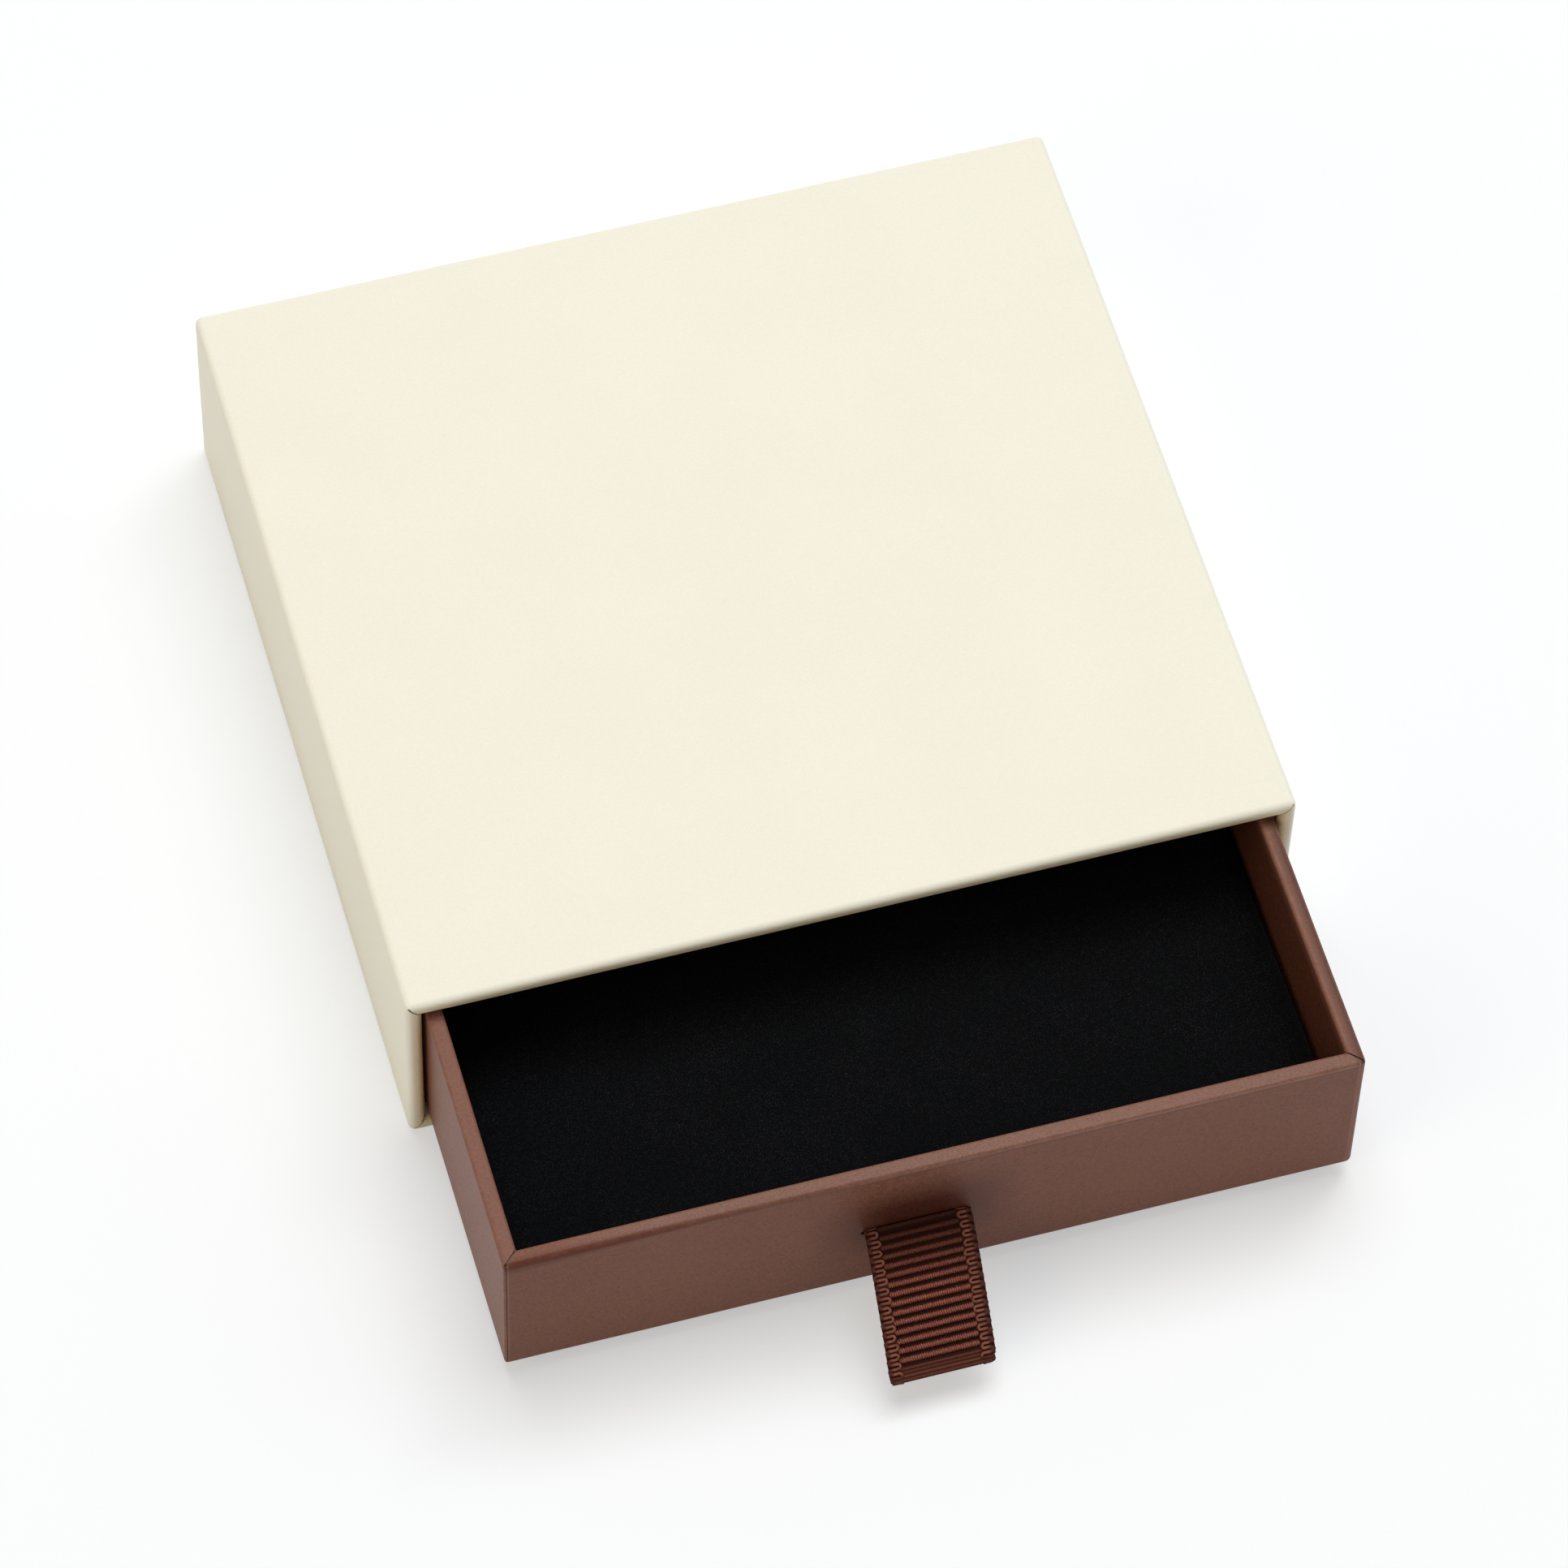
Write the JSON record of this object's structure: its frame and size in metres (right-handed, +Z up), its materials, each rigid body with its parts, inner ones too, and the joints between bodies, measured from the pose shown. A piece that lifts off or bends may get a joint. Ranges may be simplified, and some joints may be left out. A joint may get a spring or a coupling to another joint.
{
  "type": "jewelry drawer box",
  "caption": "Paper-wrapped slide box for jewelry: a cream sleeve closed at the back, and a brown tray with a velvet pad that is drawn out by a folded grosgrain ribbon.",
  "frame": {"origin": "middle of the sleeve's underside, on the surface that the box lies on", "axes": "+Z up, -Y out of the sleeve's mouth, the way the tray is drawn out, +X to the right for someone facing the mouth"},
  "size_m": [0.102, 0.1447, 0.026],
  "materials": {
    "cream_paper": "matte",
    "lining_paper": "matte",
    "brown_paper": "satin",
    "greyboard": "matte",
    "kraft_tape": "matte",
    "foam": "matte",
    "velvet": "matte",
    "grosgrain": "satin"
  },
  "bodies": {
    "sleeve": {"sleeve_top_board": "greyboard", "sleeve_bottom_board": "greyboard", "sleeve_left_board": "greyboard", "sleeve_right_board": "greyboard", "sleeve_back_board": "greyboard", "sleeve_stay_top_left": "kraft_tape", "sleeve_stay_top_right": "kraft_tape", "sleeve_stay_bottom_left": "kraft_tape", "sleeve_stay_bottom_right": "kraft_tape", "sleeve_stay_back_left": "kraft_tape", "sleeve_stay_back_right": "kraft_tape", "sleeve_stay_back_top": "kraft_tape", "sleeve_stay_back_bottom": "kraft_tape", "sleeve_lining": "lining_paper", "sleeve_back_lining": "lining_paper", "sleeve_wrap": "cream_paper"},
    "tray": {"tray_base_board": "greyboard", "tray_front_board": "greyboard", "tray_back_board": "greyboard", "tray_left_board": "greyboard", "tray_right_board": "greyboard", "tray_stay_front_left": "kraft_tape", "tray_stay_front_right": "kraft_tape", "tray_stay_back_left": "kraft_tape", "tray_stay_back_right": "kraft_tape", "tray_wrap": "brown_paper", "tray_floor_sheet": "brown_paper", "insert_foam": "foam", "insert_velvet": "velvet", "ribbon_upper_tail": "grosgrain", "ribbon_lower_tail": "grosgrain"},
    "pull": {"ribbon_loop": "grosgrain"}
  },
  "joints": [
    {"name": "drawer_slide", "type": "slide", "parent": "sleeve", "child": "tray", "axis": [0, -1, 0], "range_m": [-0.0324, 0.064]},
    {"name": "ribbon_swing", "type": "hinge", "parent": "tray", "child": "pull", "pos_m": [-0.0023, -0.0817, 0.0124], "axis": [-1, 0, 0], "range_deg": [-13, 112], "stiffness_Nm_per_rad": 0.0002, "springref_deg": 1.38}
  ]
}
